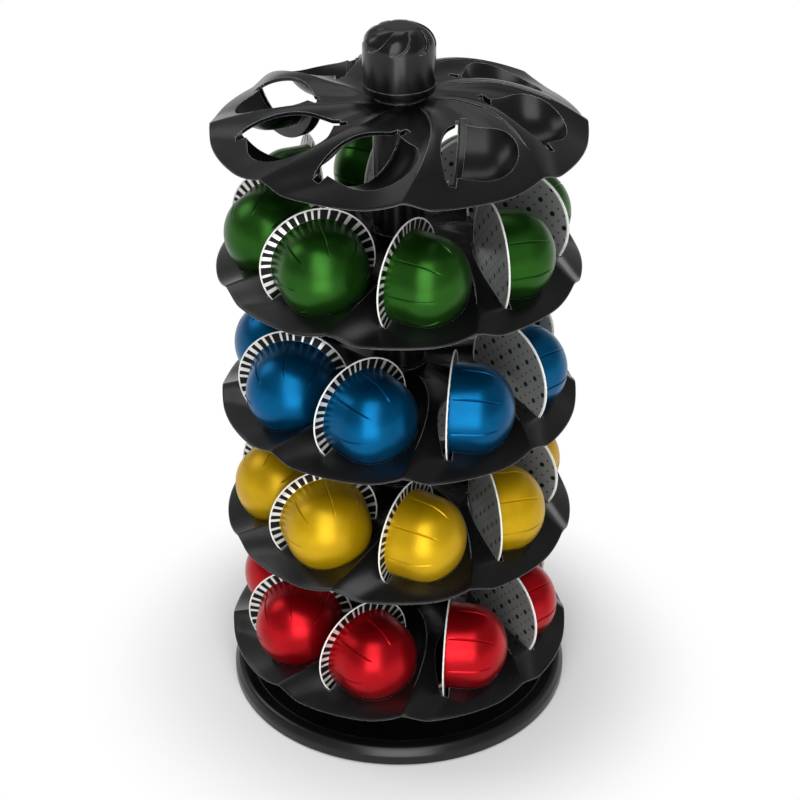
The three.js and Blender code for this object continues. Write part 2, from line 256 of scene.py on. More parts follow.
def copied(piece: Piece, name: str, place: Matrix) -> Piece:
    """Copies a piece with its own mesh, and moves the copy's mesh to its place.

    Args:
        piece: the piece.
        name: the copy's name.
        place: the move.

    Returns:
        The copy.
    """
    twin = piece.copy()
    twin.data = piece.data.copy()
    twin.name = twin.data.name = name
    bpy.context.scene.collection.objects.link(twin)
    twin.data.transform(place)
    return twin


def shade(piece: Piece, degrees: float = 35) -> None:
    """Shades a piece smooth between edges sharper than an angle."""
    select_only(piece)
    bpy.ops.object.shade_smooth_by_angle(angle=math.radians(degrees))


def turn(degrees: float, axis: str = "Z") -> Matrix:
    """A turn about one of the frame's axes."""
    return Matrix.Rotation(math.radians(degrees), 4, axis)


def shift(x: float, y: float, z: float) -> Matrix:
    """A move by a distance in mm."""
    return Matrix.Translation(Vector((x, y, z)) * MM)


def smooth_step(values: Any) -> Any:
    """A soft ramp from 0 to 1, of a number or an array."""
    held = np.clip(values, 0, 1)
    return held * held * (3 - 2 * held)


# Finishes.
def linear(colour: str) -> tuple[float, float, float, float]:
    """Turns an sRGB colour to linear.

    Args:
        colour: six hex digits.

    Returns:
        Red, green, blue and a full alpha.
    """
    parts = [int(colour[start : start + 2], 16) / 255 for start in (0, 2, 4)]
    curved = [part / 12.92 if part <= 0.04045 else ((part + 0.055) / 1.055) ** 2.4 for part in parts]
    return (*curved, 1.0)


def add_node(tree: Tree, kind: str, settings: Settings | None = None, links: Links | None = None) -> Node:
    """Adds a node with its settings and links.

    Args:
        tree: the node tree.
        kind: the shader node's type.
        settings: values by property, input name or input number.
        links: for an input's name or number, the node and the output that it reads.

    Returns:
        The new node.
    """
    node = tree.nodes.new("ShaderNode" + kind)
    for name, value in (settings or {}).items():
        if name.isdigit():
            node.inputs[int(name)].default_value = value
        elif name in node.inputs:
            node.inputs[name].default_value = value
        else:
            setattr(node, name, value)
    for name, (source, output) in (links or {}).items():
        place = int(name) if name.isdigit() else name
        tree.links.new(source.outputs[output], node.inputs[place])
    return node


def new_material(name: str) -> tuple[Material, Tree]:
    """Makes an empty node material.

    Args:
        name: the material's name.

    Returns:
        The material and its node tree.
    """
    material = bpy.data.materials.new(name)
    material.use_nodes = True
    material.node_tree.nodes.clear()
    return material, material.node_tree


def set_ramp(node: Node, stops: Sequence[tuple[float, str]]) -> Link:
    """Gives a colour ramp its stops.

    Args:
        node: the ramp.
        stops: place and hex colour of each.

    Returns:
        The colour that it puts out.
    """
    for element, (place, colour) in zip(node.color_ramp.elements, stops):
        element.position = place
        element.color = linear(colour)
    return node, "Color"


def mapped(values: Point, results: Point) -> Settings:
    """The settings that turn one range of values into another."""
    ends = ("From Min", "From Max", "To Min", "To Max")
    return dict(zip(ends, (*values, *results)))


@dataclass(frozen=True)
class Finish:
    """What finishes share: a name, two close colours, a roughness, and the way to a material."""

    name: str
    dark: str
    light: str
    roughness: float = 0.3

    @cache
    def material(self) -> Material:
        """Makes the material, once for each finish.

        Returns:
            The material.
        """
        material, tree = new_material(self.name)
        shader = add_node(tree, "BsdfPrincipled", *self.surface(tree))
        add_node(tree, "OutputMaterial", {}, {"Surface": (shader, "BSDF")})
        return material

    def surface(self, tree: Tree) -> Surface:
        """The finish's own part of the material, which each kind of finish gives."""
        raise NotImplementedError

    def tinted(self, tree: Tree, pattern: Node) -> Link:
        """The finish's two colours, mixed by a pattern."""
        tint = add_node(tree, "ValToRGB", {}, {"Fac": (pattern, "Fac")})
        return set_ramp(tint, list(zip(MIDDLE_TONES, (self.dark, self.light))))


@dataclass(frozen=True)
class MouldedPlastic(Finish):
    """An injection-moulded black plastic: soft flow marks, a fine spark grain, and eased edges with a paler
    painted highlight line along them.
    """

    spread: float = 0.04  # how far the gloss wanders
    flow: float = 28.0  # mm from one flow mark to the next
    grain: float = 0.45  # mm from one grain of the tool's surface to the next
    grain_depth: float = 0.006
    edge: float = 0.38  # mm, the rounding that a mould leaves on an edge
    edge_rays: int = 6
    rub: Point = (0.97, 0.87)  # cosines of the eased edge's lean where the painted edge highlight starts and where it is full
    edge_highlight_colour: str = "b6b8ba"  # the paler line painted along an edge, a painted highlight
    shine: float = 0.36
    ior: float = 1.53

    def surface(self, tree: Tree) -> Surface:
        """Draws flow marks in colour and gloss, grain in the relief, and a painted highlight along the edges.

        Args:
            tree: the node tree.

        Returns:
            The shader's own values, and the nodes that it reads.
        """
        place = {"Vector": (add_node(tree, "TexCoord"), "Object")}
        flow = add_node(tree, "TexNoise", {"Scale": 1 / (self.flow * MM), "Detail": 3.0}, place)
        grain = add_node(tree, "TexNoise", {"Scale": 1 / (self.grain * MM), "Detail": 2.0}, place)
        wander = mapped(MIDDLE_TONES, (self.roughness - self.spread, self.roughness + self.spread))
        gloss = add_node(tree, "MapRange", wander, {"Value": (flow, "Fac")})
        edge = add_node(tree, "Bevel", {"Radius": self.edge * MM, "samples": self.edge_rays})
        both = {"0": (edge, "Normal"), "1": (add_node(tree, "NewGeometry"), "Normal")}
        lean = add_node(tree, "VectorMath", {"operation": "DOT_PRODUCT"}, both)
        # A paler colour along the eased edges: a painted edge highlight.
        rub = add_node(tree, "MapRange", mapped(self.rub, (0.0, 1.0)), {"Value": (lean, "Value")})
        mixed = {"0": (rub, "Result"), "6": self.tinted(tree, flow)}
        colour = add_node(tree, "Mix", {"data_type": "RGBA", "7": linear(self.edge_highlight_colour)}, mixed)
        relief = {"Height": (grain, "Fac"), "Normal": (edge, "Normal")}
        bump = add_node(tree, "Bump", {"Strength": 0.5, "Distance": self.grain_depth * MM}, relief)
        links = {"Base Color": (colour, 2), "Roughness": (gloss, "Result"), "Normal": (bump, "Normal")}
        return {"IOR": self.ior, "Specular IOR Level": self.shine}, links


@dataclass(frozen=True)
class AnodisedAluminium(Finish):
    """Deep-drawn aluminium foil, dyed and lacquered: a satin metal with faint drawing lines along the cup."""

    roughness: float = 0.32
    metallic: float = 0.75  # the rest is the dyed lacquer over the metal
    shine: float = 0.2  # the lacquer's own gloss
    spread: float = 0.05
    line: Point = (0.7, 14.0)  # mm between drawing lines, and along them
    line_depth: float = 0.02
    cloud: float = 16.0  # mm from one cloud in the dye to the next

    def surface(self, tree: Tree) -> Surface:
        """Draws lines along the piece's own map, and clouds in the colour.

        Args:
            tree: the node tree.

        Returns:
            The shader's own values, and the nodes that it reads.
        """
        own = {"Vector": (add_node(tree, "UVMap", {"uv_map": CAPSULE_MAP}), "UV")}
        stretch = add_node(tree, "Mapping", {"Scale": (1 / self.line[0], 1 / self.line[1], 1.0)}, own)
        lines = add_node(tree, "TexNoise", {"Scale": 1.0, "Detail": 2.0}, {"Vector": (stretch, "Vector")})
        place = {"Vector": (add_node(tree, "TexCoord"), "Object")}
        cloud = add_node(tree, "TexNoise", {"Scale": 1 / (self.cloud * MM), "Detail": 2.0}, place)
        wander = mapped((0.0, 1.0), (self.roughness - self.spread, self.roughness + self.spread))
        gloss = add_node(tree, "MapRange", wander, {"Value": (lines, "Fac")})
        relief = {"Strength": 0.25, "Distance": self.line_depth * MM}
        bump = add_node(tree, "Bump", relief, {"Height": (lines, "Fac")})
        tint = self.tinted(tree, cloud)
        links = {"Base Color": tint, "Roughness": (gloss, "Result"), "Normal": (bump, "Normal")}
        return {"Metallic": self.metallic, "Specular IOR Level": self.shine}, links


@dataclass(frozen=True)
class SealingFoil(Finish):
    """Thin lacquered aluminium foil, heat-sealed: silver grey, with printed dots, softly creased."""

    metallic: float = 0.6
    large_pitch: float = 9.6  # mm between large dots
    small_pitch: float = 4.8  # mm between small dots
    large_edge: Point = (0.14, 0.16)  # where a dot's soft edge lies, as shares of its pitch
    small_edge: Point = (0.11, 0.15)
    small_tones: tuple[str, str] = ("909294", "ffffff")  # what a small dot leaves of the foil's colour
    slant: float = 45.0  # degrees that the rows are turned
    crease: float = 9.0  # mm from one crease to the next
    crease_depth: float = 0.1

    def surface(self, tree: Tree) -> Surface:
        """Draws the dots and creases on the piece's own map.

        Args:
            tree: the node tree.

        Returns:
            The shader's own values, and the nodes that it reads.
        """
        own = {"Vector": (add_node(tree, "UVMap", {"uv_map": CAPSULE_MAP}), "UV")}
        aslant = add_node(tree, "Mapping", {"Rotation": (0, 0, math.radians(self.slant))}, own)
        inks: Links = {}
        for slot, pitch, edge, tones in (
            ("6", self.large_pitch, self.large_edge, (self.dark, self.light)),
            ("7", self.small_pitch, self.small_edge, self.small_tones),
        ):
            grid = {"Scale": 1 / pitch, "Randomness": 0.0}
            dots = add_node(tree, "TexVoronoi", grid, {"Vector": (aslant, "Vector")})
            ink = add_node(tree, "ValToRGB", {}, {"Fac": (dots, "Distance")})
            inks[slot] = set_ramp(ink, list(zip(edge, tones)))
        print_over = {"data_type": "RGBA", "blend_type": "MULTIPLY", "0": 1.0}
        tint = add_node(tree, "Mix", print_over, inks)
        folds = {"Scale": 1 / self.crease, "Detail": 3.0, "Distortion": 0.6}
        creases = add_node(tree, "TexNoise", folds, own)
        relief = {"Strength": 0.5, "Distance": self.crease_depth * MM}
        bump = add_node(tree, "Bump", relief, {"Height": (creases, "Fac")})
        settings = {"Metallic": self.metallic, "Roughness": self.roughness}
        return settings, {"Base Color": (tint, 2), "Normal": (bump, "Normal")}


@dataclass(frozen=True)
class Lacquer(Finish):
    """A printed lacquer on aluminium: even, slightly glossy, with the faint orange peel of a roller coat."""

    metallic: float = 0.0  # how much of the bare metal shows through
    shine: float = 0.5
    peel: float = 1.2  # mm from one dimple to the next
    peel_depth: float = 0.02

    def surface(self, tree: Tree) -> Surface:
        """Draws the dimples in colour and relief.

        Args:
            tree: the node tree.

        Returns:
            The shader's own values, and the nodes that it reads.
        """
        place = {"Vector": (add_node(tree, "TexCoord"), "Object")}
        peel = add_node(tree, "TexNoise", {"Scale": 1 / (self.peel * MM), "Detail": 1.0}, place)
        relief = {"Strength": 0.2, "Distance": self.peel_depth * MM}
        bump = add_node(tree, "Bump", relief, {"Height": (peel, "Fac")})
        settings = {"Roughness": self.roughness, "Metallic": self.metallic, "Specular IOR Level": self.shine}
        return settings, {"Base Color": self.tinted(tree, peel), "Normal": (bump, "Normal")}


@dataclass(frozen=True)
class TurnedMetal(Finish):
    """A machined metal: fine cutting marks round the axis, under a light oil sheen."""

    mark: float = 0.35  # mm between cutting marks
    mark_length: float = 6.0
    mark_depth: float = 0.02

    def surface(self, tree: Tree) -> Surface:
        """Draws the cutting marks in colour and relief.

        Args:
            tree: the node tree.

        Returns:
            The shader's own values, and the nodes that it reads.
        """
        place = {"Vector": (add_node(tree, "TexCoord"), "Object")}
        along, across = 1 / (self.mark_length * MM), 1 / (self.mark * MM)
        stretch = add_node(tree, "Mapping", {"Scale": (along, along, across)}, place)
        marks = add_node(tree, "TexNoise", {"Scale": 1.0, "Detail": 2.0}, {"Vector": (stretch, "Vector")})
        relief = {"Strength": 0.3, "Distance": self.mark_depth * MM}
        bump = add_node(tree, "Bump", relief, {"Height": (marks, "Fac")})
        settings = {"Metallic": 1.0, "Roughness": self.roughness}
        return settings, {"Base Color": self.tinted(tree, marks), "Normal": (bump, "Normal")}


# Polystyrene from a polished mould looks deep black with a soft sheen. ABS is harder, and a polished knob
# of it is glossier. Rubber is matt and greyer. Lacquer evens a metal out, and a clear one lets it gleam.
# Each moulded plastic gets a paler painted highlight line along its edges; the base's and the rubber's are
# dim.
TRAY_PLASTIC = MouldedPlastic("Black polystyrene, moulded satin", "070708", "0b0b0c", 0.28, shine=0.31)
COLUMN_PLASTIC = MouldedPlastic("Black polystyrene tube, moulded satin", "070708", "0a0a0b", 0.28, shine=0.15)
GLOSS_PLASTIC = MouldedPlastic(
    "Black ABS, polished mould", "070708", "0b0b0c", 0.22, spread=0.02, grain_depth=0.004, edge=0.35
)
BASE_PLASTIC = MouldedPlastic("Black ABS base, moulded satin", "080809", "0d0d0e", 0.3, edge_highlight_colour="2c2d2e")
RUBBER = MouldedPlastic(
    "Black rubber, moulded matt", "151515", "1d1d1d", 0.8, grain=0.8, grain_depth=0.05, edge_highlight_colour="2a2a2a"
)
NYLON = Lacquer("Natural nylon, moulded", "d8d4c8", "cfcabc", 0.5)
STEEL = TurnedMetal("Zinc-plated steel, drawn", "aeb2b6", "c4c7ca")
BRASS = TurnedMetal("Brass insert, turned", "ae8b40", "c09d55", 0.35)
RIM_WHITE = Lacquer("White lacquer on aluminium, rolled rim", "f0f0ec", "e6e6e1")
BAR_BLACK = Lacquer("Black print on aluminium, rim bars", "060606", "0a0a0a", 0.4, shine=0.15)
BAR_SILVER = Lacquer("Clear lacquer on bright aluminium, rim bars", "cfcfcb", "dededa", metallic=0.6)
FOIL = SealingFoil("Aluminium sealing foil, lacquered", "303234", "a6a8a6", 0.4)
CAPSULE_COLOURS = {
    "red": AnodisedAluminium("Red dyed aluminium, deep drawn", "a00611", "b80c19", shine=0.3),
    "yellow": AnodisedAluminium(
        "Yellow dyed aluminium, deep drawn", "bc9400", "cba306", 0.39, metallic=0.55, shine=0.32
    ),
    "blue": AnodisedAluminium("Blue dyed aluminium, deep drawn", "004c76", "005a8a", metallic=0.8),
    "green": AnodisedAluminium("Green dyed aluminium, deep drawn", "224e16", "2b5e1d", metallic=0.8),
}


def dress(piece: Piece, *finishes: Finish) -> None:
    """Gives a piece its materials.

    Args:
        piece: the piece.
        finishes: its finishes, in slot order.
    """
    piece.data.materials.clear()
    for finish in finishes:
        piece.data.materials.append(finish.material())


def hand_over(piece: Piece, body: str, node: str) -> None:
    """Ties a finished piece to the frame and reports it.

    Args:
        piece: the piece.
        body: the body that it rides on.
        node: the node that it stands for.
    """
    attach(piece, body)
    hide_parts(node)
    log.info("%s: %d faces on %s", piece.name, len(piece.data.polygons), body)


# Sub-assemblies.
@dataclass
class Base:
    """The base dish: a rolled rim, a sunk floor with a raised middle, and four rubber feet."""

    radius: float = 96.0
    underside: float = 1.0
    roll_top: float = 11.0
    roll_inner: float = 85.0
    roll_side: float = 5.2  # how high the rim's outer side stands
    roll_slopes: Point = (2.6, 0.6)  # how far the rim's top stands in from its outer and inner side
    hollow: Point = (-3.5, 2.5)  # the flat of the hollow under the rim, from the rim's middle
    floor: float = 5.5
    wall: float = 2.5
    hump_radius: float = 24.0
    hump_top: float = 8.5
    bore: float = 3.4
    feet: int = 4
    first_foot: float = 45.0
    foot_radius: float = 8.0
    foot_circle: float = 74.0
    foot_hollow: float = 0.5
    foot_gap: float = 0.2
    foot_rim: Point = (3.0, 2.2)  # where the sucker's slope starts and ends, in from the foot's side
    sides: int = 160
    foot_sides: int = 40

    def build_dish(self) -> Piece:
        """Turns the dish from its outline.

        Returns:
            The dish.
        """
        middle = (self.radius + self.roll_inner) / 2
        hump_under = self.hump_top - self.wall
        floor_under = self.floor - self.wall
        roll_under = self.roll_top - self.wall
        corners = [
            (self.bore, hump_under, 0),
            (self.hump_radius - self.wall, hump_under, 1.0),
            (self.hump_radius, floor_under, 1.0),
            (self.roll_inner - self.wall, floor_under, 1.5),
            (middle + self.hollow[0], roll_under, 2.0),
            (middle + self.hollow[1], roll_under, 2.0),
            (self.radius - self.wall, self.underside, 0.6),
            (self.radius, self.underside, 0.6),
            (self.radius, self.underside + self.roll_side, 3.5),
            (self.radius - self.roll_slopes[0], self.roll_top, 3.5),
            (self.roll_inner + self.roll_slopes[1], self.roll_top, 2.6),
            (self.roll_inner, self.floor, 1.4),
            (self.hump_radius + self.wall, self.floor, 1.5),
            (self.hump_radius, self.hump_top, 1.0),
            (self.bore, self.hump_top, 0.5),
            (self.bore, hump_under, 0),
        ]
        dish = lathe("dish", rounded(corners, 6), even_angles(self.sides))
        shade(dish)
        return dish

    def build_foot(self) -> Piece:
        """Turns one foot, with its eased lower edge and a shallow sucker hollow.

        Returns:
            The foot, about the dish's axis.
        """
        top = self.floor - self.wall - self.foot_gap
        corners = [
            (0, self.foot_hollow, 0),
            (self.foot_radius - self.foot_rim[0], self.foot_hollow, 0.4),
            (self.foot_radius - self.foot_rim[1], 0, 0.3),
            (self.foot_radius, 0, 0.6),
            (self.foot_radius, top, 0.3),
            (0, top, 0),
        ]
        foot = lathe("foot", rounded(corners), even_angles(self.foot_sides))
        shade(foot)
        return foot

    def build(self) -> None:
        """Builds and dresses the dish and its feet."""
        dish, foot = self.build_dish(), self.build_foot()
        dress(dish, BASE_PLASTIC)
        dress(foot, RUBBER)
        hand_over(dish, "base", "base_dish")
        for place in range(self.feet):
            spot = turn(self.first_foot + 360 / self.feet * place) @ shift(self.foot_circle, 0, 0)
            twin = copied(foot, f"foot_{place + 1}", spot)
            hand_over(twin, "base", f"rubber_foot_{place + 1}")
        remove(foot)


@dataclass
class Bearing:
    """The ball bearing under the column: a race, a cage with six balls, and the turntable plate."""

    race_bottom: float = 5.7
    race_top: float = 8.7
    circle: float = 36.0
    ball_radius: float = 3.0
    ball_height: float = 10.32
    ball_count: int = 6
    ball_room: float = 0.25
    race_width: float = 11.0
    groove_depth: float = 1.5
    groove_half: float = 2.85
    groove_flat: float = 1.1  # half of a groove's flat bottom
    cage_thickness: float = 1.2
    plate_under: float = 11.94
    plate_thickness: float = 3.0
    plate_radius: float = 46.0
    spigot_radius: float = 10.32
    spigot_reach: float = 6.0
    bore: float = 3.4
    sides: int = 96
    ball_sides: int = 32

    def groove(self, face: float, sink: float) -> list[Corner]:
        """Draws a ball groove in a face.

        Args:
            face: the face's height.
            sink: how deep the groove is.

        Returns:
            Its corners from the inner edge to the outer one.
        """
        return [
            (self.circle - self.groove_half, face, 0.1),
            (self.circle - self.groove_flat, face - sink, 0.8),
            (self.circle + self.groove_flat, face - sink, 0.8),
            (self.circle + self.groove_half, face, 0.1),
        ]

    def spots(self) -> list[Matrix]:
        """The places of the balls."""
        places = range(self.ball_count)
        return [turn(360 * place / self.ball_count) @ shift(self.circle, 0, 0) for place in places]

    def build_race(self) -> Piece:
        """Turns the lower race.

        Returns:
            The race.
        """
        inner, outer = self.circle - self.race_width / 2, self.circle + self.race_width / 2
        low, high = self.race_bottom, self.race_top
        corners = [(inner, low, 0), (outer, low, 0.3), (outer, high, 0.4)]
        corners += self.groove(high, self.groove_depth)[::-1]
        corners += [(inner, high, 0.4), (inner, low, 0)]
        return lathe("lower_race", rounded(corners), even_angles(self.sides))

    def build_plate(self) -> Piece:
        """Turns the turntable plate with the spigot that carries the column.

        Returns:
            The plate.
        """
        top = self.plate_under + self.plate_thickness
        corners = [(self.bore, self.plate_under, 0)]
        corners += self.groove(self.plate_under, -self.groove_depth)
        corners += [
            (self.plate_radius, self.plate_under, 0.6),
            (self.plate_radius, top, 1.0),
            (self.spigot_radius, top, 0.2),
            (self.spigot_radius, top + self.spigot_reach, 0.6),
            (self.bore, top + self.spigot_reach, 0.4),
            (self.bore, self.plate_under, 0),
        ]
        return lathe("turntable", rounded(corners), even_angles(self.sides))

    def build_cage(self) -> Piece:
        """Turns the cage and cuts the balls' holes.

        Returns:
            The cage.
        """
        inner, outer = self.circle - self.race_width / 2, self.circle + self.race_width / 2
        low, high = self.ball_height - self.cage_thickness / 2, self.ball_height + self.cage_thickness / 2
        start = (inner, low, 0)
        corners = [start, (outer, low, 0.2), (outer, high, 0.2), (inner, high, 0.2), start]
        cage = lathe("cage", rounded(corners, 2), even_angles(self.sides))
        size = self.ball_radius + self.ball_room
        walls = [(0, low - 1), (size, low - 1), (size, high + 1), (0, high + 1)]
        hole = lathe("hole", walls, even_angles(self.ball_sides))
        for spot in self.spots():
            join_solids(cage, copied(hole, "hole_cut", spot), Joining.CUT)
        remove(hole)
        return cage

    def build_ball(self) -> Piece:
        """Turns one ball about its own upright axis.

        Returns:
            The ball, at the height of the ring.
        """
        steps = self.ball_sides // 2
        arc = [
            (self.ball_radius * math.sin(angle), self.ball_height - self.ball_radius * math.cos(angle))
            for angle in (math.pi * step / steps for step in range(steps + 1))
        ]
        return lathe("ball", arc, even_angles(self.ball_sides))

    def build(self) -> None:
        """Builds and dresses the bearing."""
        race, plate, cage, ball = self.build_race(), self.build_plate(), self.build_cage(), self.build_ball()
        for piece, finish in ((race, NYLON), (plate, COLUMN_PLASTIC), (cage, NYLON), (ball, STEEL)):
            shade(piece)
            dress(piece, finish)
        hand_over(race, "base", "bearing_lower_race")
        hand_over(cage, "ball_ring", "bearing_cage")
        hand_over(plate, "carousel", "turntable_plate")
        for place, spot in enumerate(self.spots(), 1):
            hand_over(copied(ball, f"ball_{place}", spot), "ball_ring", f"bearing_ball_{place}")
        remove(ball)


@dataclass
class Column:
    """The column: five tubes that plug into each other, each with a double ring at its foot, and the rod."""

    radius: float = 13.5
    bore: float = 11.0
    collar_radius: float = 15.2
    collar_height: float = 3.2
    neck_depth: float = 0.8  # how deep the fine groove between the rings is
    neck_half: float = 0.2
    upper_inset: float = 0.35  # how much narrower the upper ring is
    spigot_radius: float = 10.32
    spigot_wall: float = 2.0
    spigot_rise: float = 14.0  # how far a spigot reaches over its tube's shoulder
    cone: Point = (6.2, 8.5)  # where the bore narrows, over the tube's foot
    sides: int = 96

    def build_tube(self, name: str, bottom: float, shoulder: float) -> Piece:
        """Turns one tube.

        Args:
            name: the tube's name.
            bottom: the height of its foot in mm.
            shoulder: the height of the shoulder that carries the tray.

        Returns:
            The tube in its place.
        """
        tip = shoulder + self.spigot_rise
        neck = bottom + self.collar_height / 2
        collar_top = bottom + self.collar_height
        upper = self.collar_radius - self.upper_inset
        corners = [
            (self.bore, bottom, 0),
            (self.collar_radius, bottom, 0.35),
            (self.collar_radius, neck - self.neck_half, 0.5),
            (self.collar_radius - self.neck_depth, neck, 0.15),
            (upper, neck + self.neck_half, 0.3),
            (upper, collar_top, 0.5),
            (self.radius, collar_top, 0.3),
            (self.radius, shoulder, 0.3),
            (self.spigot_radius, shoulder, 0.1),
            (self.spigot_radius, tip, 0.5),
            (self.spigot_radius - self.spigot_wall, tip, 0.3),
            (self.spigot_radius - self.spigot_wall, bottom + self.cone[1], 0),
            (self.bore, bottom + self.cone[0], 0),
            (self.bore, bottom, 0),
        ]
        tube = lathe(name, rounded(corners), even_angles(self.sides))
        shade(tube)
        return tube

    def build(self, nodes: dict[str, Piece]) -> None:
        """Builds and dresses the tubes, and dresses the rod, its nut and the insert.

        Args:
            nodes: the frame's nodes by name.
        """
        for tier in range(len(Tier)):
            node = f"column_tube_{tier + 1}"
            low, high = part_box(node)
            tube = self.build_tube(f"tube_{tier + 1}", low.z / MM, high.z / MM - self.spigot_rise)
            dress(tube, COLUMN_PLASTIC)
            hand_over(tube, "carousel", node)
        for name, finish in (("tie_rod", STEEL), ("tie_rod_nut", STEEL), ("knob_insert", BRASS)):
            dress(nodes[name], finish)
            log.info("%s: kept, and finished as %s", name, finish.name)


@dataclass
class Knob:
    """The knob: a glossy cylinder with a domed top that eight swirling scoops run into."""

    bottom: float = 356.0
    radius: float = 18.5
    height: float = 37.0
    foot_radius: float = 15.0
    collar_radius: float = 13.5
    collar_height: float = 2.2
    collar_rings: tuple[Corner, ...] = (  # two rings and a neck: out from the collar's side, up, rounding
        (0.3, 0, 0.1), (0.3, 0.35, 0.15), (-0.1, 0.5, 0.1), (-0.1, 1.2, 0.25), (-0.7, 1.3, 0.1),
    )
    chamfer: float = 1.6
    skirt_top: float = 7.8  # where a fine groove parts the skirt from the grip
    skirt_draft: float = 0.3
    groove: float = 0.35
    grip_rings: int = 6
    grip_step: float = 3.5
    shoulder: float = 10.0
    dome_steps: int = 56
    flat_radius: float = 5.5
    flat_rings: Corner = (0.85, 0.5, 0)
    bore: float = 11.0
    socket: float = 6.0
    core_radius: float = 6.0
    core_top: float = 22.4
    scoops: int = 8
    scoop_depth: float = 1.4
    scoop_sweep: float = 47.0  # degrees that a scoop turns from its tip to the flat
    scoop_bends: Point = (2.6, 0.36)  # how late the scoop's left edge turns, and how early its right one
    scoop_start: float = -16.3  # degrees, a tip's place
    scoop_climb: float = 84.0  # how far up the dome a scoop ends, in degrees
    scoop_width: float = 14.0  # degrees, the width from which a scoop has its full depth
    scoop_wall: float = 2.2  # degrees that the step beside a scoop takes
    scoop_deepest: float = 0.25  # share of the climb where a scoop is deepest
    sides: int = 384

    def outline(self) -> list[Point]:
        """Draws the knob's outline over its own foot.

        Returns:
            Its points, from the socket's mouth round the outside and back.
        """
        side_top = self.height - self.shoulder
        low = self.collar_height
        corners = [
            (self.bore, 0, 0),
            *((self.collar_radius + out, up, bend) for out, up, bend in self.collar_rings),
            (self.collar_radius + self.collar_rings[-1][0], low, 0.1),
            (self.foot_radius, low, 0.3),
            (self.radius - self.skirt_draft, low + self.chamfer, 0.25),
            (self.radius, self.skirt_top - self.groove, 0.12),
            (self.radius - self.groove, self.skirt_top - 0.1, 0.08),  # the groove over the skirt
            (self.radius - self.groove, self.skirt_top + 0.05, 0.08),
            (self.radius, self.skirt_top + 0.1, 0.08),
            (self.radius, side_top, 0),
        ]
        points = rounded(corners, 4)[:-1]
        grip = [self.skirt_top + 1 + step * self.grip_step for step in range(self.grip_rings)]
        points += [(self.radius, height) for height in (*grip, side_top - 0.4)]
        for step in range(self.dome_steps + 1):
            angle = QUARTER_TURN * step / self.dome_steps
            reach = (self.radius - self.flat_radius) * math.cos(angle)
            points.append((self.flat_radius + reach, side_top + self.shoulder * math.sin(angle)))
        points += [(self.flat_radius * share, self.height) for share in self.flat_rings]
        inner = [(0, self.core_top), (self.core_radius, self.core_top), (self.core_radius, self.socket)]
        return points + inner + [(self.bore, self.socket), (self.bore, 0)]

    def scooped(self, places: np.ndarray) -> np.ndarray:
        """Presses the scoops into the dome.

        Args:
            places: the vertices in mm, over the knob's foot.

        Returns:
            The vertices with those of the dome pressed in.
        """
        radius = np.hypot(places[:, 0], places[:, 1])
        angle = np.degrees(np.arctan2(places[:, 1], places[:, 0]))
        rise = places[:, 2] - (self.height - self.shoulder)
        outside = (rise > 0) & (radius > self.flat_radius)
        reach = (radius - self.flat_radius) / (self.radius - self.flat_radius)
        climb = np.degrees(np.arctan2(rise / self.shoulder, reach))
        along = np.clip(climb / self.scoop_climb, 0, 1)
        left, right = (self.scoop_sweep * along**bend for bend in self.scoop_bends)
        width = np.maximum(right - left, 0.01)
        step = 360 / self.scoops
        past_tip = (angle - self.scoop_start) % step
        depth = np.zeros(len(places))
        for turned in (0, 1):  # a scoop sweeps past the next one's tip
            share = (past_tip + turned * step - left) / width
            ramp = np.clip(share, 0, 1)
            wall = np.clip((1 - share) * width / self.scoop_wall, 0, 1)
            pressed = ramp * wall * np.clip(width / self.scoop_width, 0, 1)
            depth = np.maximum(depth, np.where((share > 0) & (share < 1), pressed, 0))
        past_deepest = np.clip((along - self.scoop_deepest) / (1 - self.scoop_deepest), -1, 1)
        depth *= np.where(outside, self.scoop_depth * np.cos(QUARTER_TURN * past_deepest), 0)
        slope = np.radians(np.clip(climb, 0, 90))
        inward = 1 - depth * np.cos(slope) / np.maximum(radius, 1)
        moved = places * np.stack([inward, inward, np.ones(len(inward))], axis=1)
        moved[:, 2] -= depth * np.sin(slope)
        return moved

    def build(self) -> None:
        """Builds and dresses the knob."""
        knob = lathe("turned_knob", self.outline(), even_angles(self.sides))
        reshape(knob, self.scooped)
        shade(knob)
        knob.data.transform(shift(0, 0, self.bottom))
        dress(knob, GLOSS_PLASTIC)
        hand_over(knob, "carousel", "knob")


@dataclass
class Seat:
    """A capsule's place in a pocket: it stands on its rim with its axis level."""

    distance: float = 61.6
    rise: float = 21.8
    lead: float = 25.3
    turn: float = 57.0
    step: float = 45.0

    def stand(self, pocket: int) -> Matrix:
        """The upright frame of a pocket in its tray, with X along the dome's way."""
        outward = turn(self.lead + self.step * pocket) @ shift(self.distance, 0, self.rise)
        return outward @ turn(self.turn)

    def lie(self, pocket: int) -> Matrix:
        """The frame of a capsule in its tray: its own axis, Z, laid level."""
        return self.stand(pocket) @ turn(90, "Y")


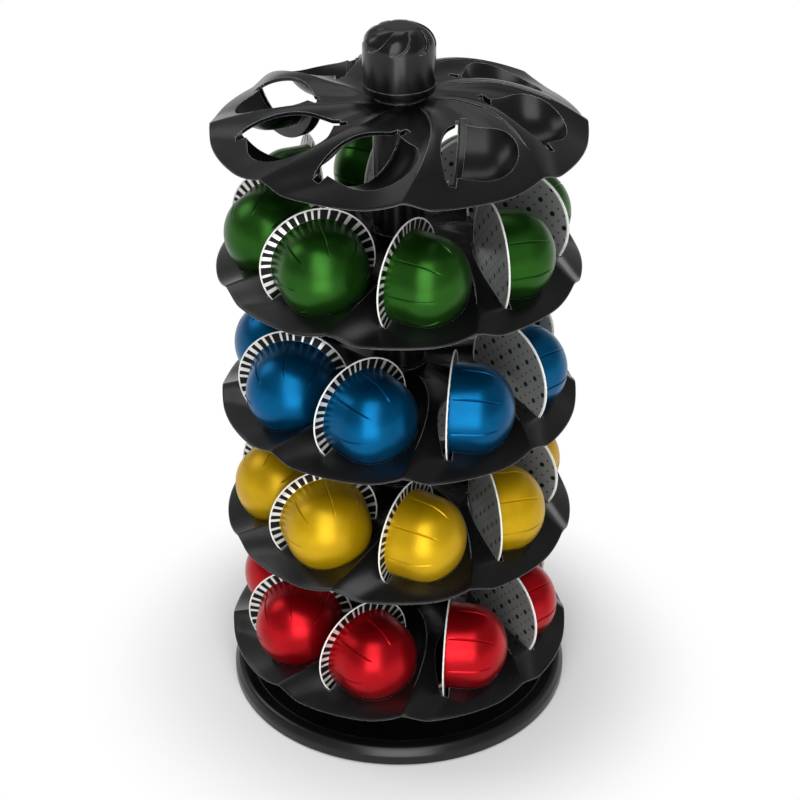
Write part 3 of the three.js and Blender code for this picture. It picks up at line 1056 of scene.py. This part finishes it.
@dataclass
class Capsule:
    """A capsule: a deep-drawn cup with eight creases, a rolled rim with printed bars, and a foil lid."""

    rim_radius: float = 30.0
    bead: float = 0.45
    bead_steps: int = 8
    bead_start: float = -0.2  # radians from the bead's lowest point to where it starts
    bead_sweep: float = 0.7  # radians that the bead goes on past half a turn
    lid_rings: tuple[Point, ...] = ((0, 0.12), (12, 0.12), (24.6, 0.12), (25.2, 0.02), (28.7, 0.02))
    lid_highest: float = 0.2  # faces under this height are the lid's
    ring_height: float = 0.7
    bar_inner: float = 24.15
    bar_outer: float = 29.2
    body_radius: float = 24.0
    body_taper: float = 0.6
    wall_rings: tuple[Point, ...] = ((0, 0.8), (0, 1.9), (-0.1, 4.0), (-0.35, 8.0))  # out from the cup's, up
    wall_depth: float = 12.5
    depth: float = 33.2
    dome_steps: int = 22
    creases: int = 8
    crease_lead: float = 0.04  # share of a crease's step by which the first stands off the start
    crease_half: float = 1.6  # degrees
    crease_depth: float = 0.6
    crease_ends: Point = (2.0, 26.5)  # the heights between which a crease runs
    crease_fades: Point = (1.2, 0.8)
    bars: int = 37
    bar_seed: int = 11
    bar_widths: Corner = (1.0, 1.3, 1.8)
    dark_share: float = 1.9  # how much wider the black bars are
    widest_step: float = 3.2  # degrees between columns
    closest: float = 0.12  # degrees under which two columns are one

    def dome(self, margin: float, steps: int) -> list[Point]:
        """Draws the dome.

        Args:
            margin: how much it is grown, in mm.
            steps: how many edges it has.

        Returns:
            Its points from the shoulder to the middle.
        """
        shoulder = self.body_radius - self.body_taper + margin
        points = []
        for step in range(steps):
            angle = QUARTER_TURN * step / steps
            depth = self.wall_depth + (self.depth + margin - self.wall_depth) * math.sin(angle)
            points.append((shoulder * math.cos(angle), depth))
        return points + [(0, self.depth + margin)]

    def bar_edges(self) -> list[float]:
        """Draws the row of printed bars, with widths that vary as a code's do.

        Returns:
            The degrees at which the bars start and end.
        """
        rng = random.Random(self.bar_seed)
        shares = (self.dark_share, 1.0)
        widths = [rng.choice(self.bar_widths) * shares[place % 2] for place in range(2 * self.bars)]
        scale = 360 / sum(widths)
        edges, angle = [], 0.0
        for width in widths:
            edges.append(angle)
            angle += width * scale
        return edges

    def crease_angles(self) -> list[float]:
        """The degrees of the creases' middles."""
        return [360 * (place + self.crease_lead) / self.creases for place in range(self.creases)]

    def columns(self) -> list[float]:
        """Places the columns: at bars' edges and creases, and as many between as keep the cup round.

        Returns:
            Their degrees.
        """
        fixed = {round(edge, 3) for edge in self.bar_edges()}
        for middle in self.crease_angles():
            angles = (middle - self.crease_half, middle, middle + self.crease_half)
            fixed |= {
                round(angle, 3) for angle in angles if all(abs(edge - angle) > self.closest for edge in fixed)
            }
        ordered = sorted(fixed)
        filled: list[float] = []
        for here, after in zip(ordered, ordered[1:] + [360.0]):
            parts = max(1, math.ceil((after - here) / self.widest_step))
            filled += [here + (after - here) * part / parts for part in range(parts)]
        return filled

    def outline(self) -> list[Point]:
        """Draws the capsule's outline.

        Returns:
            Its points, from the lid's middle round the rim to the dome's middle.
        """
        middle = self.rim_radius - self.bead
        points = list(self.lid_rings)
        for step in range(self.bead_steps + 1):
            angle = -QUARTER_TURN + self.bead_start + (math.pi + self.bead_sweep) * step / self.bead_steps
            points.append((middle + self.bead * math.cos(angle), self.bead + self.bead * math.sin(angle)))
        points += [(self.bar_outer, self.ring_height), (self.bar_inner, self.ring_height)]
        points += [(self.body_radius + out, up) for out, up in self.wall_rings]
        return points + self.dome(0, self.dome_steps)

    def creased(self, places: np.ndarray) -> np.ndarray:
        """Presses the creases into the cup.

        Args:
            places: the vertices in mm.

        Returns:
            The vertices with those of the creases pressed in.
        """
        radius = np.hypot(places[:, 0], places[:, 1])
        angle = np.degrees(np.arctan2(places[:, 1], places[:, 0])) % 360
        step = 360 / self.creases
        off = np.abs((angle - self.crease_angles()[0] + step / 2) % step - step / 2)
        height = places[:, 2]
        (low, high), (low_fade, high_fade) = self.crease_ends, self.crease_fades
        along = smooth_step((height - low) / low_fade) * smooth_step((high - height) / high_fade)
        depth = self.crease_depth * np.clip(1 - off / self.crease_half, 0, 1) * along
        share = 1 - depth / np.maximum(radius, 1)
        return places * np.stack([share, share, np.ones(len(share))], axis=1)

    def map_surface(self, piece: Piece) -> None:
        """Draws the capsule's own map in mm: round and along on the cup, flat on the lid.

        Args:
            piece: the capsule, with its lid at height zero.
        """
        layer = piece.data.uv_layers.new(name=CAPSULE_MAP)
        for face in piece.data.polygons:
            flat = face.center.z < self.lid_highest * MM and abs(face.normal.z) > 0.9
            start = math.atan2(face.center.y, face.center.x)
            for loop in face.loop_indices:
                place = piece.data.vertices[piece.data.loops[loop].vertex_index].co
                if flat:
                    layer.data[loop].uv = (place.x / MM, place.y / MM)
                    continue
                angle = math.atan2(place.y, place.x) if place.xy.length > MM * 0.01 else start
                angle += FULL_TURN * round((start - angle) / FULL_TURN)
                layer.data[loop].uv = (angle * self.body_radius, place.z / MM)

    def paint(self, piece: Piece) -> None:
        """Gives each face its slot: cup, white rim, black bar, foil or silver bar.

        Args:
            piece: the capsule, with its lid at height zero.
        """
        edges = self.bar_edges()
        for face in piece.data.polygons:
            radius, height = face.center.xy.length / MM, face.center.z / MM
            angle = math.degrees(math.atan2(face.center.y, face.center.x)) % 360
            if height < self.lid_highest and radius < self.lid_rings[-1][0]:
                face.material_index = 3
            elif self.bar_inner < radius < self.bar_outer and abs(height - self.ring_height) < 0.1:
                past = sum(1 for edge in edges if edge <= angle)
                face.material_index = 2 if past % 2 else 4
            elif radius > self.bar_outer or height < self.ring_height / 2:
                face.material_index = 1
            else:
                face.material_index = 0

    def build_shape(self) -> Piece:
        """Models one capsule with its lid at height zero and its dome up.

        Returns:
            The capsule, whose first slot waits for its colour.
        """
        angles = [math.radians(angle) for angle in self.columns()]
        capsule = lathe("capsule_shape", self.outline(), angles)
        reshape(capsule, self.creased)
        shade(capsule, 40)
        dress(capsule, RIM_WHITE, RIM_WHITE, BAR_BLACK, FOIL, BAR_SILVER)
        self.map_surface(capsule)
        self.paint(capsule)
        log.info("capsule shape: %d faces", len(capsule.data.polygons))
        return capsule


@dataclass
class Tray:
    """A tray: a deck of eight swept ridges, with a half-round cup and a rim groove under each opening."""

    seat: Seat = field(default_factory=Seat)
    capsule: Capsule = field(default_factory=Capsule)
    radius: float = 96.0
    wall: float = 2.0
    hub_rise: float = 18.4
    hub_depth: float = 8.0
    hub_radius: float = 16.0
    hub_blend: float = 3.0  # the way in which the deck's lower side falls to the hub's
    bore: float = 11.0
    valley_power: float = 2.2
    ridge_edge_rise: float = 4.2
    ridge_top_rise: float = 20.5
    ridge_climb: float = 50.0
    ridge_fade: float = 14.0
    ridge_sweep: float = 32.0
    ridge_power: float = 1.1
    ridge_round: float = 1.65
    steep_power: float = 1.9
    lip_width: float = 22.5
    gentle_shares: Point = (0.22, 0.5)  # how much of a pocket a ridge's gentle side takes: edge, inner
    steep_shares: Point = (0.3, 0.36)
    ledge_places: tuple[float, ...] = (0, 0.3, 1.1, 3.6)  # mm down the steep side from the crest
    ledge_drops: tuple[float, ...] = (0, 0.7, 0.55, 0)
    ledge_reach: Point = (12.0, 16.0)  # how far in from the edge the ledge starts, and the way it takes
    gentle_columns: tuple[float, ...] = (
        0, 0.012, 0.03, 0.06, 0.1, 0.14, 0.18, 0.22, 0.26, 0.3, 0.35, 0.4, 0.45, 0.5,
    )  # shares of the way to the next ridge
    steep_columns: tuple[float, ...] = (0.12, 0.24, 0.36, 0.46, 0.55, 0.63, 0.71, 0.79, 0.86, 0.93)
    ring_steps: Point = (1.75, 3.5)  # mm between the deck's rings above and below
    edge_round: float = 0.15
    edge_angles: Point = (0.8, QUARTER_TURN)
    edge_wall: float = 1.0
    edge_taper: float = 14.0  # how far in from the edge the deck thins
    rim_slot: Point = (-0.5, 3.1)  # where the rim's slot starts and ends along the capsule's axis
    gap: float = 0.5
    cup_wall: float = 1.6
    flange_width: float = 5.0
    lip_wall: float = 0.8  # the thin wall before the lid, which holds the rim in its slot
    groove_depth: float = 3.0
    sliver_depth: float = 5.4
    sliver_half: float = 25.0
    sliver_overlap: float = 0.3
    sliver_sides: int = 64
    cutter_drop: float = 14.0
    pockets: int = 8
    cup_sides: int = 112
    cup_steps: int = 12

    def columns(self, radius: float) -> list[float]:
        """Places the deck's columns from one ridge to the next, the last ones along the ledge.

        Args:
            radius: in mm.

        Returns:
            Their shares of the way.
        """
        arc = math.radians(self.seat.step) * radius
        ledge = [1 - place / arc for place in self.ledge_places[:0:-1]]
        half = self.gentle_columns[-1]
        rest = [half + (ledge[0] - half) * share for share in self.steep_columns]
        return [*self.gentle_columns, *rest, *ledge]

    def ridge_angle(self, radius: float) -> float:
        """The angle that a ridge has turned through at a radius, from its outer end."""
        inward = min(1.0, max(0.0, (self.radius - radius) / (self.radius - self.hub_radius)))
        return math.radians(self.ridge_sweep) * inward**self.ridge_power

    def deck_rise(self, radius: float, shares: np.ndarray) -> np.ndarray:
        """The height of the deck's upper side over the tray's edge.

        Args:
            radius: in mm.
            shares: the ways across from one ridge to the next.

        Returns:
            A height in mm for each share.
        """
        outward = max(0.0, (radius - self.hub_radius) / (self.radius - self.hub_radius))
        valley = self.hub_rise * (1 - outward**self.valley_power)
        left = max(0.0, 1 - (self.radius - radius) / self.ridge_climb)
        ridge = self.ridge_top_rise + (self.ridge_edge_rise - self.ridge_top_rise) * left**self.ridge_round
        fade = smooth_step((radius - self.hub_radius) / self.ridge_fade)
        inward = smooth_step((self.radius - radius) / self.lip_width)
        gentle, steep = (
            edge + (inner - edge) * inward for edge, inner in (self.gentle_shares, self.steep_shares)
        )
        away = np.where(shares < 1 - steep, shares / gentle, (1 - shares) / steep)
        gentle_side = np.cos(np.clip(away, 0, 1) * QUARTER_TURN) ** 2
        steep_side = (1 - np.clip(away, 0, 1)) ** self.steep_power
        shape = np.where(shares < 1 - steep, gentle_side, steep_side)
        past_crest = (1 - shares) * math.radians(self.seat.step) * radius
        ledge = np.interp(past_crest, self.ledge_places, self.ledge_drops)
        ledge *= fade * smooth_step((self.radius - self.ledge_reach[0] - radius) / self.ledge_reach[1])
        return valley + (ridge - valley) * fade * shape - ledge

    def build_sheet(self, name: str, drop: float, under: Callable[[float, np.ndarray], np.ndarray]) -> Piece:
        """A closed sheet with the deck's shape above.

        Args:
            name: the sheet's name.
            drop: how far its upper side lies under the deck's, in mm.
            under: takes a radius and the deck's heights there, and returns the heights of the lower side.

        Returns:
            The sheet.
        """
        bend = self.edge_round
        inner = self.radius - bend
        above, below = self.ring_steps
        hub = self.hub_radius
        tops = [self.bore, hub - 3, hub, *np.arange(hub + 1.5, inner - 0.5, above), inner]
        edge = [(inner + bend * math.sin(angle), bend * (1 - math.cos(angle))) for angle in self.edge_angles]
        bottoms = [self.radius, inner, *np.arange(self.radius - 3, hub + 6, -below)]
        bottoms += [hub + 4, hub + 2, hub, self.bore]
        rings = [(radius, True, 0.0) for radius in tops] + [(radius, True, low) for radius, low in edge]
        rings += [(radius, False, 0.0) for radius in bottoms] + [rings[0]]
        per_ridge = len(self.columns(self.radius))
        count = self.pockets * per_ridge
        sheet = lathe(name, [(ring[0], place) for place, ring in enumerate(rings)], even_angles(count))

        def shaped(places: np.ndarray) -> np.ndarray:
            """Puts each vertex on the deck's surface.

            Args:
                places: the vertices in mm, whose heights number their rings.

            Returns:
                The vertices in their places.
            """
            ring_of = np.rint(places[:, 2]).astype(int)
            turns = np.arctan2(places[:, 1], places[:, 0]) / FULL_TURN
            column_of = np.rint(turns * count).astype(int) % count
            moved = places.copy()
            for ring, (radius, is_top, low) in enumerate(rings):
                rows = np.flatnonzero(ring_of == ring)
                shares = np.array(self.columns(radius))[column_of[rows] % per_ridge]
                ridges = column_of[rows] // per_ridge
                angle = self.ridge_angle(radius) + (ridges + shares) * math.radians(self.seat.step)
                rise = self.deck_rise(radius, shares)
                height = rise - drop - low if is_top else under(radius, rise)
                moved[rows] = np.stack([radius * np.cos(angle), radius * np.sin(angle), height], axis=1)
            return moved

        reshape(sheet, shaped)
        close_mesh(sheet)
        return sheet

    def deck_under(self, radius: float, rise: np.ndarray) -> np.ndarray:
        """The height of the deck's lower side: one wall down, thinner at the edge and deeper at the hub.

        Args:
            radius: in mm.
            rise: the heights of the upper side.

        Returns:
            The heights of the lower side.
        """
        outward = smooth_step((radius - self.hub_radius) / self.hub_blend)
        inward = smooth_step((self.radius - radius) / self.edge_taper)
        wall = self.edge_wall + (self.wall - self.edge_wall) * inward
        if radius == self.radius:
            wall -= self.edge_round
        return rise - (self.hub_depth + (wall - self.hub_depth) * outward)

    def build_cup(self) -> Piece:
        """Turns the outside of a pocket's cup, with the wider flange that holds the rim's slot.

        Returns:
            The cup as a solid.
        """
        margin = self.gap + self.cup_wall
        flange = self.capsule.rim_radius + margin
        back = self.rim_slot[1] + self.cup_wall
        lip = -(self.gap + self.lip_wall)
        inside = flange - self.flange_width
        corners = [(0, lip, 0), (flange, lip, 0.3), (flange, back, 0.6), (inside, back, 0)]
        outline = rounded(corners)[:-1] + [(self.capsule.body_radius + margin, back)]
        outline += self.capsule.dome(margin, self.cup_steps)
        return lathe("cup", outline, even_angles(self.cup_sides))

    def build_space(self) -> Piece:
        """Turns the free space in a pocket: the body's, the rim's slot, and the open side before the lid.

        Returns:
            The space as a solid.
        """
        ahead = -(self.gap + self.lip_wall + 1)
        rim, (start, end) = self.capsule.rim_radius, self.rim_slot
        lip, slot = rim - self.groove_depth, rim + self.gap
        corners = [(0, ahead, 0), (lip, ahead, 0), (lip, start, 0.3), (slot, start, 0.3), (slot, end, 0.3)]
        outline = rounded(corners, 2) + [(slot, end), (self.capsule.body_radius + self.gap, end)]
        outline += self.capsule.dome(self.gap, self.cup_steps)
        return lathe("space", outline, even_angles(self.cup_sides))

    def build_sliver(self) -> Piece:
        """Draws a disc to the lens-shaped opening in the deck before the lid, and extrudes it down.

        Returns:
            The opening as a solid.
        """
        near = -(self.gap + self.lip_wall)
        select_only(None)
        size = self.sliver_half * MM
        bpy.ops.mesh.primitive_circle_add(vertices=self.sliver_sides, radius=size, fill_type="NGON")
        sliver = bpy.context.object

        def drawn(places: np.ndarray) -> np.ndarray:
            """Flattens one side of the disc and draws the other in to the lens.

            Args:
                places: the vertices in mm.

            Returns:
                The vertices in their places.
            """
            along = places[:, 1] / self.sliver_half
            lens = near - self.sliver_depth * (1 - along**2)
            bow = np.where(places[:, 0] < 0, lens, near + self.sliver_overlap)
            return np.stack([bow, places[:, 1], np.zeros(len(places))], axis=1)

        reshape(sliver, drawn)
        bpy.ops.object.mode_set(mode="EDIT")
        bpy.ops.mesh.select_all(action="SELECT")
        drop = {"value": (0, 0, -(self.seat.rise + self.cutter_drop) * MM)}
        bpy.ops.mesh.extrude_region_move(TRANSFORM_OT_translate=drop)
        close_mesh(sliver)
        return sliver

    def build_shape(self) -> Piece:
        """Models one tray about its own middle: deck and cups joined, and the capsules' places cut out.

        Returns:
            The tray.
        """
        tray = self.build_sheet("tray_shape", 0, self.deck_under)
        room = self.build_sheet("room", self.wall / 2, lambda _, rise: np.full(len(rise), -self.cutter_drop))
        cup, space, sliver = self.build_cup(), self.build_space(), self.build_sliver()
        cup.data.transform(self.seat.lie(0))
        space.data.transform(self.seat.lie(0))
        sliver.data.transform(self.seat.stand(0))
        join_solids(cup, room, Joining.KEEP_COMMON)
        join_solids(space, sliver, Joining.ADD)
        for tool, joining in ((cup, Joining.ADD), (space, Joining.CUT)):
            for pocket in range(self.pockets):
                join_solids(tray, copied(tool, "tool", turn(self.seat.step * pocket)), joining)
        remove(cup, space)
        shade(tray, 32)
        log.info("tray shape: %d faces", len(tray.data.polygons))
        return tray


@dataclass
class Carousel:
    """The trays and their capsules at their tiers."""

    tray: Tray = field(default_factory=Tray)
    pitch: float = 76.5
    first_height: float = 31.4
    turned_rise: float = 2.8
    first_turn: float = -90.0  # degrees, the lowest tray's
    capsule_play: float = 3.0  # degrees by which a capsule may have turned in its seat
    play_seed: int = 4

    def place(self, tier: int) -> Matrix:
        """Places a tray.

        Args:
            tier: its number from the bottom.

        Returns:
            The tray's frame.
        """
        turned = list(Tier)[tier].turned
        height = self.first_height + self.pitch * tier + (self.turned_rise if turned else 0)
        return shift(0, 0, height) @ turn(self.first_turn + (self.tray.seat.step / 2 if turned else 0))

    def build_trays(self) -> None:
        """Builds one tray and copies it to the five tiers."""
        shape = self.tray.build_shape()
        dress(shape, TRAY_PLASTIC)
        for tier in range(len(Tier)):
            tray = copied(shape, f"moulded_tray_{tier + 1}", self.place(tier))
            hand_over(tray, "carousel", f"tray_{tier + 1}")
        remove(shape)

    def build_capsules(self) -> None:
        """Builds one capsule and copies it to every full pocket, in the tier's colour."""
        shape = self.tray.capsule.build_shape()
        spin = random.Random(self.play_seed)
        for tier, kind in enumerate(Tier):
            if kind is Tier.EMPTY:
                continue
            for pocket in range(self.tray.pockets):
                play = turn(spin.uniform(-self.capsule_play, self.capsule_play))
                place = self.place(tier) @ self.tray.seat.lie(pocket) @ play
                capsule = copied(shape, f"{kind.colour}_capsule_{pocket + 1}", place)
                capsule.data.materials[0] = CAPSULE_COLOURS[kind.colour].material()
                node = f"capsule_{kind.colour}_{pocket + 1}"
                hand_over(capsule, node, node)
        remove(shape)

    def build(self) -> None:
        """Builds the trays, then the capsules."""
        self.build_trays()
        self.build_capsules()


@dataclass(frozen=True)
class SoftBox:
    """A soft lamp that faces the object's middle, out of the camera's sight."""

    name: str
    place: Corner  # m
    size: Point  # m
    watts: float
    aim: Corner = (0, 0, 0.2)  # m

    def hang(self) -> None:
        """Puts the lamp in its place."""
        data = bpy.data.lights.new(self.name, "AREA")
        data.shape = "RECTANGLE"
        data.size, data.size_y = self.size
        data.energy = self.watts
        lamp = bpy.data.objects.new(self.name, data)
        bpy.context.scene.collection.objects.link(lamp)
        lamp.visible_camera = False
        way = Vector(self.aim) - Vector(self.place)
        lamp.matrix_world = Matrix.Translation(self.place) @ way.to_track_quat("-Z", "Y").to_matrix().to_4x4()


@dataclass
class Studio:
    """A white sweep, soft lamps and the camera."""

    camera_distance: float = 975.69
    camera_height: float = 757.22
    tilt: float = 30.706
    roll: float = -0.61
    focal_pixels: float = 2075.218
    picture: float = 800.0
    sensor: float = 36.0
    side_shift: float = 0.00106
    clip: Point = (0.05, 20)  # m
    floor_size: float = 6.0  # m
    # how much glow is left in the painted shade near the object
    floor_glow: float = 0.05
    painted_shade_reach: Point = (0.1, 0.19)  # m from the object where the floor's painted shade starts and ends to fade: nearer, the glow gives way to the lit paper, which holds the real shadow
    ambient: float = 0.35
    ceiling: float = 0.3  # how bright the studio is overhead, as glossy surfaces see it
    sweep_heights: Point = (0.0, 0.1)  # where the white sweep ends, as the sine of its height
    lamps: tuple[SoftBox, ...] = (
        SoftBox("front_box", (0, -1.52, 1.34), (1.3, 2.3), 30),
        SoftBox("low_box", (0, -0.62, 0.15), (0.36, 0.27), 0.9),
        SoftBox("left_box", (-1.5, 0.5, 1.4), (1.0, 0.9), 6),
        SoftBox("back_box", (-0.25, 1.1, 1.75), (1.4, 0.7), 3.5),
    )

    def build_camera(self) -> None:
        """Puts the camera where the photograph was taken from."""
        data = bpy.data.cameras.new("Camera")
        data.sensor_width = self.sensor
        data.lens = self.focal_pixels / self.picture * self.sensor
        data.shift_x = self.side_shift
        data.clip_start, data.clip_end = self.clip
        camera = bpy.data.objects.new("Camera", data)
        bpy.context.scene.collection.objects.link(camera)
        stand = turn(self.roll) @ shift(0, -self.camera_distance, self.camera_height)
        camera.matrix_world = stand @ turn(90 - self.tilt, "X")
        bpy.context.scene.camera = camera

    def seen_directly(self, tree: Tree) -> Link:
        """Tells camera, glossy and transmission rays from diffuse ones.

        Args:
            tree: the node tree.

        Returns:
            A value that is 1 for them, and 0 for diffuse rays.
        """
        rays = add_node(tree, "LightPath")
        both = {"0": (rays, "Is Camera Ray"), "1": (rays, "Is Glossy Ray")}
        two = add_node(tree, "Math", {"operation": "ADD"}, both)
        third = {"0": (two, "Value"), "1": (rays, "Is Transmission Ray")}
        return add_node(tree, "Math", {"operation": "ADD", "use_clamp": True}, third), "Value"

    def build_floor(self) -> None:
        """A wide pale floor that shows white to the camera and keeps the shadow; near the object its glow
        fades to the lit paper, a painted shade.
        """
        select_only(None)
        bpy.ops.mesh.primitive_plane_add(size=self.floor_size)
        floor = bpy.context.object
        floor.name = "floor"
        material, tree = new_material("White paper sweep, smooth")
        place = {"0": (add_node(tree, "TexCoord"), "Object")}
        away = {"Value": (add_node(tree, "VectorMath", {"operation": "LENGTH"}, place), "Value")}
        # Near the object the glow gives way to the lit paper: a painted shade round the object.
        fade = {"interpolation_type": "SMOOTHSTEP"} | mapped(self.painted_shade_reach, (self.floor_glow, 1.0))
        both = {"0": self.seen_directly(tree), "1": (add_node(tree, "MapRange", fade, away), "Result")}
        share = add_node(tree, "Math", {"operation": "MULTIPLY"}, both)
        paper = add_node(tree, "BsdfDiffuse", {"Color": linear("f4f4f4")})
        glow = add_node(tree, "Emission", {"Color": (1, 1, 1, 1), "Strength": 1.0})
        mix = {"0": (share, "Value"), "1": (paper, "BSDF"), "2": (glow, "Emission")}
        add_node(tree, "OutputMaterial", {}, {"Surface": (add_node(tree, "MixShader", {}, mix), "Shader")})
        floor.data.materials.append(material)

    def build_world(self) -> None:
        """Soft even light: white to the camera, and to glossy surfaces white near the horizon only."""
        world = bpy.data.worlds.new("Studio")
        bpy.context.scene.world = world
        world.use_nodes = True
        tree = world.node_tree
        tree.nodes.clear()
        parts = add_node(tree, "SeparateXYZ", {}, {"0": (add_node(tree, "TexCoord"), "Generated")})
        fade = {"interpolation_type": "SMOOTHSTEP"} | mapped(self.sweep_heights, (1.0, self.ceiling))
        height = add_node(tree, "MapRange", fade, {"Value": (parts, "Z")})
        either = {"0": (add_node(tree, "LightPath"), "Is Camera Ray"), "1": (height, "Result")}
        mirrored = add_node(tree, "Math", {"operation": "MAXIMUM"}, either)
        light = add_node(tree, "Background", {"Color": (1, 1, 1, 1), "Strength": self.ambient})
        white = add_node(tree, "Background", {"Color": (1, 1, 1, 1)}, {"Strength": (mirrored, "Value")})
        mix = {"0": self.seen_directly(tree), "1": (light, "Background"), "2": (white, "Background")}
        add_node(tree, "OutputWorld", {}, {"Surface": (add_node(tree, "MixShader", {}, mix), "Shader")})

    def build(self) -> None:
        """Builds the camera, the floor, the world and the lamps."""
        self.build_camera()
        self.build_floor()
        self.build_world()
        for lamp in self.lamps:
            lamp.hang()


def main() -> None:
    """Loads the frame, builds the object in order, and sets up the studio."""
    logging.basicConfig(level=logging.INFO, format="%(name)s: %(message)s")
    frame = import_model()
    Base().build()
    Bearing().build()
    Column().build(frame["nodes"])
    Knob().build()
    Carousel().build()
    Studio().build()
    bpy.context.scene.view_settings.view_transform = "Standard"


if __name__ == "__main__":
    main()
